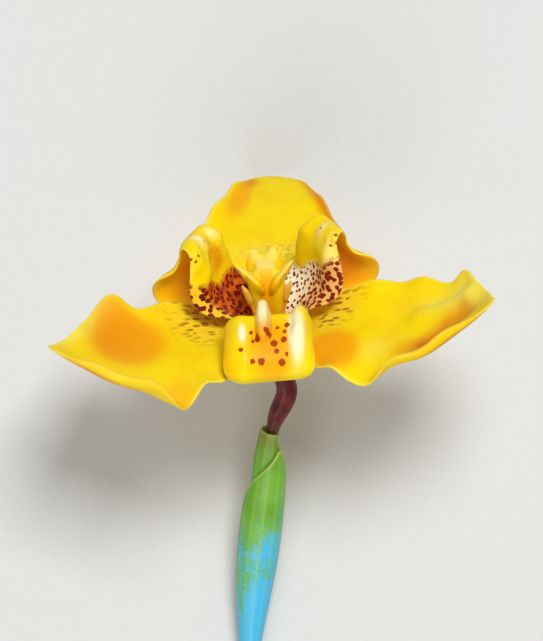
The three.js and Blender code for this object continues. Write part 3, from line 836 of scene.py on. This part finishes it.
def styleSkin():
    s = Sheet("styleSkin")
    where = s.objectPlace()
    place = s.parts("place")
    colour = s.mix(s.step(s.noise(where, 500.0), 0.35, 0.7), (0.95, 0.7, 0.008), (0.94, 0.56, 0.004))
    # painted shade: the concave front of the column between the front crests is darker orange
    front = s.times(s.step(place[1], 0.2, -0.9), s.step(s.math("ABSOLUTE", place[0]), 1.5, 0.7))
    colour = s.mix(s.times(front, 0.85), colour, (0.95, 0.46, 0.002))
    tips = s.times(s.step(place[2], 15.0, 17.4), 0.7)
    colour = s.mix(tips, colour, (0.96, 0.86, 0.26))
    streak = s.noise(s.stretched(place, 3.0, 3.0, 0.5), 1.5)
    return s.surface(colour, s.bump(streak, 0.35, 0.00015), 0.36, {
        "Specular IOR Level": 0.2, "Subsurface Weight": 0.15, "Subsurface Radius": (1.0, 0.5, 0.1),
        "Subsurface Scale": 0.0006})


stamen = {
    "filament": [(1.95, headPose["rootHeight"]), (2.15, 4), (2.5, 8), (3.3, 10.9)],
    "filamentRadii": [0.42, 0.4, 0.38],
    "anther": [(3.1, 9.8), (3.4, 11.2), (3.8, 12.6), (4.3, 13.8)],
    "antherRadii": [0.4, 0.7, 0.75, 0.65, 0.3],
    "antherFlat": 0.65,
    "groove": (0.2, 0.28),  # its depth and width as shares of the anther
    "weld": (0.07, 2),
    "pollen": {"grainMm": 0.045, "perMm2": 26, "fromHeight": 10.4, "seed": 4},
}


def makeStamen(side, azimuth, material, pollenMaterial):
    across = tangential(azimuth)

    def twoSacs(t, angle):  # an anther has a groove down its middle
        deep, wide = stamen["groove"]
        radius = smoothAt(stamen["antherRadii"], t) * (1 - deep * np.exp(-(np.cos(angle) / wide) ** 2))
        return oval(radius, angle, stamen["antherFlat"])

    filament = ringGrid(radialPath(azimuth, stamen["filament"]), 30, 20, across,
                        roundSection(stamen["filamentRadii"]))[0]
    anther = ringGrid(radialPath(azimuth, stamen["anther"]), 40, 40, across, twoSacs)[0]
    parts = [makeStalk("filament", fromHead(filament)), makeStalk("anther", fromHead(anther))]
    piece = weld("stamen_" + side, parts, *stamen["weld"])
    addHeadPlace(piece)
    settle(piece, "stamen_" + side, material)
    grains = scatterGrains("pollen_" + side, piece, stamen["pollen"], pollenMaterial)
    return settle(grains, None, pollenMaterial)


# Geometry Nodes tree that sets small grains on the part of a surface above a height
def grainTree(name, material):
    tree = bpy.data.node_groups.new(name, "GeometryNodeTree")
    nodes, sockets = Nodes(tree), {}
    for label, kind in (("Surface", "Geometry"), ("Grain Size", "Float"), ("Density", "Float"),
                        ("From Height", "Float"), ("Seed", "Int")):
        socket = tree.interface.new_socket(label, in_out="INPUT", socket_type="NodeSocket" + kind)
        sockets[label] = socket.identifier
    tree.interface.new_socket("Grains", in_out="OUTPUT", socket_type="NodeSocketGeometry")
    given = nodes.add("NodeGroupInput").outputs
    place = nodes.add("GeometryNodeInputNamedAttribute", {"data_type": "FLOAT_VECTOR"}, Name="place")
    height = nodes.add("ShaderNodeSeparateXYZ", Vector=place.outputs["Attribute"]).outputs["Z"]
    above = nodes.add("FunctionNodeCompare", A=height, B=given["From Height"])
    spread = nodes.add("GeometryNodeDistributePointsOnFaces", Mesh=given["Surface"], Seed=given["Seed"],
                       Selection=above.outputs["Result"], Density=given["Density"])
    grain = nodes.add("GeometryNodeMeshIcoSphere", Subdivisions=1, Radius=given["Grain Size"])
    vary = nodes.add("FunctionNodeRandomValue", Seed=given["Seed"])
    vary.inputs[2].default_value, vary.inputs[3].default_value = 0.7, 1.25  # the float pair
    grains = nodes.add("GeometryNodeInstanceOnPoints", Points=spread.outputs["Points"],
                       Instance=grain.outputs["Mesh"], Scale=vary.outputs[1])
    real = nodes.add("GeometryNodeRealizeInstances", Geometry=grains.outputs["Instances"])
    painted = nodes.add("GeometryNodeSetMaterial", Geometry=real.outputs["Geometry"], Material=material)
    nodes.add("NodeGroupOutput", Grains=painted.outputs["Geometry"])
    return tree, sockets


def scatterGrains(name, surface, grain, material):
    carrier = addObject(name + "Carrier", surface.data.copy())
    modifier = carrier.modifiers.new("grains", "NODES")
    tree, sockets = grainTree(name + "Tree", material)
    modifier.node_group = tree
    modifier[sockets["Grain Size"]] = grain["grainMm"] * 0.001
    modifier[sockets["Density"]] = grain["perMm2"] * 1e6
    modifier[sockets["From Height"]] = grain["fromHeight"]
    modifier[sockets["Seed"]] = grain["seed"]
    return bakedCopy(name, carrier)


def antherSkin():
    s = Sheet("antherSkin")
    where = s.objectPlace()
    place = s.parts("place")
    head = s.step(place[2], 9.9, 10.9)  # the anther, above the bare filament
    dusty = s.mix(s.noise(where, 1500.0), (0.82, 0.4, 0.02), (0.9, 0.58, 0.06))
    skin = s.bump(s.noise(where, 4000.0, 4.0), 0.5, 0.0001)
    return s.surface(s.mix(head, (0.86, 0.4, 0.01), dusty), skin, 0.7)


def pollenSkin():
    s = Sheet("pollenSkin")
    dust = s.mix(s.noise(s.objectPlace(), 3000.0), (0.88, 0.55, 0.07), (0.94, 0.74, 0.22))
    return s.surface(dust, None, 0.85)


makeStyle(styleSkin())
antherMaterial, pollenMaterial = antherSkin(), pollenSkin()
for armName, armAzimuth in style["arms"].items():
    makeStamen(armName, armAzimuth, antherMaterial, pollenMaterial)
print("style and stamens made")


# The stem runs from the flower down to the table and then lies along it.
stem = {
    "radius": 1.5,
    "leaves": 20,          # straight out of the flower before it starts to sink
    "landing": (-3.4, -66),
    "landingReach": 30,
    "run": 62,
    "runDirection": (0.08, -1, 0),
    "bow": (1.9, 7.5, 4.2),  # a sideways bow near the ovary: size, place and width
    "pedicelEnd": 55.6,
    "scapeStart": 55.6,
    "solidSides": 12,      # the solid stem lies on a flat side
    "slimmer": 0.98,       # than the solid one
    "ribs": (14, 0.012),   # how many, and how high
    "node": (0.05, 0.012),  # how high, and how long
}


def stemLine():
    down = lieDown(np.array([0, 0, -1.0]))
    direction = unit(np.array(stem["runDirection"], float))
    height = stem["radius"] * math.cos(math.pi / stem["solidSides"]) - flowerPlace[2]
    landing = np.array([*stem["landing"], height])
    a, b, c, d = np.zeros(3), down * stem["leaves"], landing - direction * stem["landingReach"], landing
    t = np.linspace(0, 1, 2001)[:, None]
    curve = (1 - t) ** 3 * a + 3 * (1 - t) ** 2 * t * b + 3 * (1 - t) * t ** 2 * c + t ** 3 * d
    line = np.concatenate([curve, [landing + direction * stem["run"]]])
    travelled = np.concatenate([[0], np.cumsum(np.linalg.norm(np.diff(line, axis=0), axis=1))])
    return line + flowerPlace, travelled


stemPoints, stemTravelled = stemLine()
stemLength = stemTravelled[-1]


def stemPart(start, end):
    size, place, width = stem["bow"]

    def path(t):
        along = np.clip(start + (end - start) * np.asarray(t, float), 0, stemLength)
        points = np.stack([np.interp(along, stemTravelled, stemPoints[:, k]) for k in range(3)], -1)
        points[..., 0] += size * np.exp(-((along - place) / width) ** 2)
        return points

    return path


ovary = {
    "radii": [1.35, 1.5, 1.7, 1.6, 1, 0.7, 0.65, 0.65, 0.65, 0.65, 0.65, 0.65, 0.65, 0.65, 0.6, 0.55],
    "slimmer": 0.985,     # than the solid
    "lobes": 0.05,
    "swelling": (0.15, 0.1),  # where the lobes are highest, and their reach
    "cup": (1.75, 0.55),  # the rim that carries the tepals: how far it stands out, and its depth
}


def makeOvary(material):
    def section(t, angle):  # the ovary has three low lobes that fade into its round stalk
        highest, reach = ovary["swelling"]
        lobes = ovary["lobes"] * np.exp(-((t - highest) / reach) ** 2) * np.cos(3 * angle)
        out, depth = ovary["cup"]
        rim = out * np.exp(-(t * stem["pedicelEnd"] / depth) ** 1.5)
        return oval(smoothAt(ovary["radii"], t) * (1 + lobes) * ovary["slimmer"] + rim, angle)

    points, t, angle = ringGrid(stemPart(0, stem["pedicelEnd"]), 400, 48, (1, 0, 0), section)
    piece = makeStalk("ovary", points, stalkPlace(t * stem["pedicelEnd"], angle))
    return settle(piece, "ovary", material)


def ovarySkin():
    s = Sheet("ovarySkin")
    where = s.objectPlace()
    place = s.parts("place")
    # the ovary's dark maroon is painted shade beneath the flower, brightest red at its top; further down it
    # turns olive green
    shadeVariation = s.noise(s.stretched(place, 0.25, 1.0, 1.0), 2.2)
    colour = s.mix(s.step(shadeVariation, 0.35, 0.7), (0.07, 0.005, 0.01), (0.2, 0.018, 0.014))
    colour = s.mix(s.step(place[0], 3.5, 0.5), colour, (0.34, 0.05, 0.012))
    colour = s.mix(s.step(place[0], 12.0, 19.0), colour, (0.16, 0.13, 0.03))
    skin = s.bump(s.noise(where, 1800.0), 0.3, 0.0001)
    return s.surface(colour, skin, 0.45, {"Specular IOR Level": 0.3})


# Two bracts wrap the stem: the keel's angle, then how far each side wraps round.
bracts = {
    "spathe_outer": {
        "base": 55.6, "tip": 17.5, "keel": 55,
        "halfWidth": [1.25, 1.75, 2.55, 3.1, 3.15, 2.85, 2.55],
        "halfDepth": [1.25, 2, 2.45, 2.6, 2.6, 2.55, 2.5],
        "wraps": ([195, 195, 195, 190, 168, 92, 8], [130, 130, 130, 130, 120, 78, 10]),
    },
    "spathe_inner": {
        "base": 46.5, "tip": 14.8, "keel": 180,
        "halfWidth": [1.3, 1.7, 2, 2.1, 2.1, 2.2, 1.8],
        "halfDepth": [1.25, 1.45, 1.6, 1.6, 1.45, 1.35, 1.7],
        "wraps": ([150, 150, 150, 150, 150, 145, 90], [150, 150, 150, 150, 155, 150, 120]),
    },
}
bractDetail = {"rows": 150, "columns": 110, "thickness": 0.5, "margin": 0.2, "thins": 1.0,
               "radius": 2.6, "ribRelief": 0.04, "ribPitch": 2.1}


def makeBract(name, material):
    bract = bracts[name]
    path = stemPart(bract["tip"], bract["base"])

    def surface(u, v):
        u, v = np.broadcast_arrays(np.asarray(u, float), np.asarray(v, float))
        angle = np.radians(bract["keel"] + bySide(bract["wraps"], u, v) * v)
        centre, across, up = squareTo(path, 1 - u, (1, 0, 0))
        wide, deep = smoothAt(bract["halfWidth"], u), smoothAt(bract["halfDepth"], u)
        return centre + across * (wide * np.cos(angle))[..., None] + up * (deep * np.sin(angle))[..., None]

    grid = bladeGrid(surface, bractDetail["rows"], bractDetail["columns"])
    u, v = grid[2:]
    length = bract["base"] - bract["tip"]
    reach = np.radians(bySide(bract["wraps"], u, v)) * bractDetail["radius"]
    arc = reach * v
    marginMm = np.minimum((1 - np.abs(v)) * reach, (1 - u) * length)
    thickness = thinned(bractDetail, marginMm)
    relief = bractDetail["ribRelief"] * (1 - np.abs(np.sin(arc * bractDetail["ribPitch"]))) ** 2
    fromFlower = bract["tip"] + (1 - u) * length
    values = {"place": np.stack([fromFlower, arc, marginMm], -1)}
    piece = makeBlade(name, grid, thickness, relief, values)
    return settle(piece, name, material)


# green, darker near the flower, with a blue bloom that is partly the stem's waxy bloom and partly a painted
# reflection of blue light: specks that start some way down the stem, close up and then fade along the scape
bloomAndSheen = {"from": 18, "full": 52, "fades": (58, 84), "specks": 2100.0, "level": 0.588,
         "colour": (0.045, 0.49, 0.92), "faded": (0.16, 0.42, 0.3), "lean": 2.4}
stemGlow = {"Subsurface Weight": 0.08, "Subsurface Scale": 0.0005}


def stemGreen(s, along):
    where = s.objectPlace()
    fresh = s.mix(s.step(s.noise(where, 160.0), 0.35, 0.65), (0.12, 0.33, 0.012), (0.17, 0.42, 0.03))
    base = s.mix(s.step(along, 24.0, 50.0), fresh, (0.11, 0.42, 0.09))
    drawnOut = s.add("ShaderNodeMapping", Vector=where, Scale=(1, 0.3, 1)).outputs["Vector"]
    wide = s.noise(drawnOut, 300.0, 3.0, 0.6)  # streaks, for the stem runs along Y
    fine = s.noise(where, bloomAndSheen["specks"], 4.0, 0.7)
    grain = s.plus(s.times(wide, 0.5), s.times(fine, 0.5))
    # painted blue reflection on the stem, partly its waxy bloom
    reach = s.step(along, bloomAndSheen["from"], bloomAndSheen["full"], smooth=False)
    level = s.minus(s.plus(grain, s.times(reach, 0.3)), bloomAndSheen["level"])
    waxAndSheen = s.mix(s.step(along, *bloomAndSheen["fades"]), bloomAndSheen["colour"], bloomAndSheen["faded"])
    return s.mix(s.times(s.step(level, 0.0, 0.15), 0.85), base, waxAndSheen)


def bractSkin(name, rim, lean=0.0):
    s = Sheet(name)
    place = s.parts("place")
    where = s.objectPlace()
    # the bloom and its painted blue reflection start sooner on the right side than on the left, and are even
    # at the base
    keel = np.radians(bracts["spathe_outer"]["keel"])
    angle = s.plus(s.math("DIVIDE", place[1], bractDetail["radius"]), keel)
    sooner = s.times(s.math("COSINE", angle), s.step(place[0], 54.0, 40.0))
    colour = stemGreen(s, s.plus(place[0], s.times(sooner, lean)))
    rib = s.lines(s.times(place[1], bractDetail["ribPitch"]), 2.0)
    colour = s.mix(s.times(rib, 0.3), colour, (0.3, 0.56, 0.09))
    # the end nearest the flower is dry and olive
    dry = s.times(s.step(place[0], 21.0, 14.5), s.step(s.noise(where, 400.0), 0.3, 0.6))
    colour = s.mix(s.times(dry, 0.75), colour, (0.24, 0.2, 0.03))
    colour = s.mix(s.times(s.step(place[2], 0.55, 0.0), 0.7), colour, rim)
    fibres = s.bump(s.noise(s.stretched(place, 0.4, 7.0), 2.0), 0.2, 0.0001)
    skin = s.bump(s.noise(where, 2600.0, 2.0), 0.15, 0.0001, fibres)
    return s.surface(colour, skin, 0.42, stemGlow)


def makeScape(material):
    def section(t, angle):  # nearly round, with low ribs, flat where it lies
        (count, ribHeight), (nodeHeight, nodeReach) = stem["ribs"], stem["node"]
        ribs = 1 + ribHeight * np.cos(count * angle)
        node = 1 + nodeHeight * np.exp(-(t / nodeReach) ** 2)
        return oval(stem["radius"] * stem["slimmer"] * ribs * node, angle)

    start, end = stem["scapeStart"], stemLength - 0.02
    points, t, angle = ringGrid(stemPart(start, end), 260, 56, (1, 0, 0), section)
    points[..., 2] = np.maximum(points[..., 2], 0.0)
    piece = makeStalk("scape", points, stalkPlace(start + t * (end - start), angle))
    return settle(piece, "scape", material)


def scapeSkin():
    s = Sheet("scapeSkin")
    place = s.parts("place")
    where = s.objectPlace()
    colour = stemGreen(s, place[0])
    streak = s.noise(s.stretched(place, 0.12, 3.0, 3.0), 2.0)
    colour = s.mix(s.times(s.step(streak, 0.45, 0.7), 0.4), colour, (0.24, 0.55, 0.2))
    colour = s.mix(s.value("end"), colour, (0.55, 0.68, 0.3))
    skin = s.bump(s.noise(where, 2400.0, 2.0), 0.15, 0.0001, s.bump(streak, 0.25, 0.0002))
    return s.surface(colour, skin, 0.4, stemGlow)


makeOvary(ovarySkin())
makeBract("spathe_outer", bractSkin("outerBractSkin", (0.5, 0.62, 0.12), bloomAndSheen["lean"]))
makeBract("spathe_inner", bractSkin("innerBractSkin", (0.42, 0.5, 0.1)))
makeScape(scapeSkin())
print("stem made")


# The table, lights and camera

# the photo's size and scale, the pixel of the ovary's top, and where the camera looks from
photoFrame = {"width": 543, "height": 641, "pixelsPerMm": 6.3, "flowerPixel": (273, 350),
              "elevation": 85, "distance": 1.1}
# each lamp's place from the flower and its size in metres, and its power in watts
light = {
    "key": {"place": (0.14, 0.32, 0.85), "size": 0.3, "power": 6.6},
    "fill": {"place": (-0.15, -0.65, 0.5), "size": 0.6, "power": 3.2},
    "sky": 0.27,
}


def makeTable():
    reach = 900
    corners = [(-reach, -reach, 0), (reach, -reach, 0), (reach, reach, 0), (-reach, reach, 0)]
    table = makeMesh("table", corners, [(0, 1, 2, 3)])
    s = Sheet("tableSkin")
    paper = s.mix(s.noise(s.objectPlace(), 900.0), (0.64, 0.64, 0.63), (0.68, 0.68, 0.67))
    table.data.materials.append(s.surface(paper, None, 0.8))


# puts a lamp or camera at a distance from a target that it then faces
def placeFacing(name, data, target, away):
    thing = addObject(name, data)
    thing.location = target + away
    thing.rotation_euler = (-away).to_track_quat("-Z", "Y").to_euler()
    return thing


def addLight(name, spec):
    lamp = bpy.data.lights.new(name, "AREA")
    lamp.size, lamp.energy = spec["size"], spec["power"]
    placeFacing(name, lamp, Vector(flowerPlace * 0.001), Vector(spec["place"]))


def addCamera():
    camera = bpy.data.cameras.new("camera")
    elevation, distance = math.radians(photoFrame["elevation"]), photoFrame["distance"]
    away = Vector((0, -math.cos(elevation), math.sin(elevation)))
    upwards = Vector((0, math.sin(elevation), math.cos(elevation)))
    scale = 0.001 / photoFrame["pixelsPerMm"]
    right = (photoFrame["width"] / 2 - photoFrame["flowerPixel"][0]) * scale
    raised = (photoFrame["flowerPixel"][1] - photoFrame["height"] / 2) * scale
    target = Vector(flowerPlace * 0.001) + Vector((right, 0, 0)) + upwards * raised
    camera.sensor_width = 36
    camera.lens = camera.sensor_width * distance / (photoFrame["height"] * scale)
    camera.clip_end = 10
    bpy.context.scene.camera = placeFacing("camera", camera, target, away * distance)


makeTable()
addLight("keyLight", light["key"])
addLight("fillLight", light["fill"])
world = bpy.data.worlds.new("studio")
world.use_nodes = True
world.node_tree.nodes["Background"].inputs["Color"].default_value = (1, 1, 1, 1)
world.node_tree.nodes["Background"].inputs["Strength"].default_value = light["sky"]
bpy.context.scene.world = world
bpy.context.scene.view_settings.view_transform = "Standard"
addCamera()
print("table, lights and camera made")
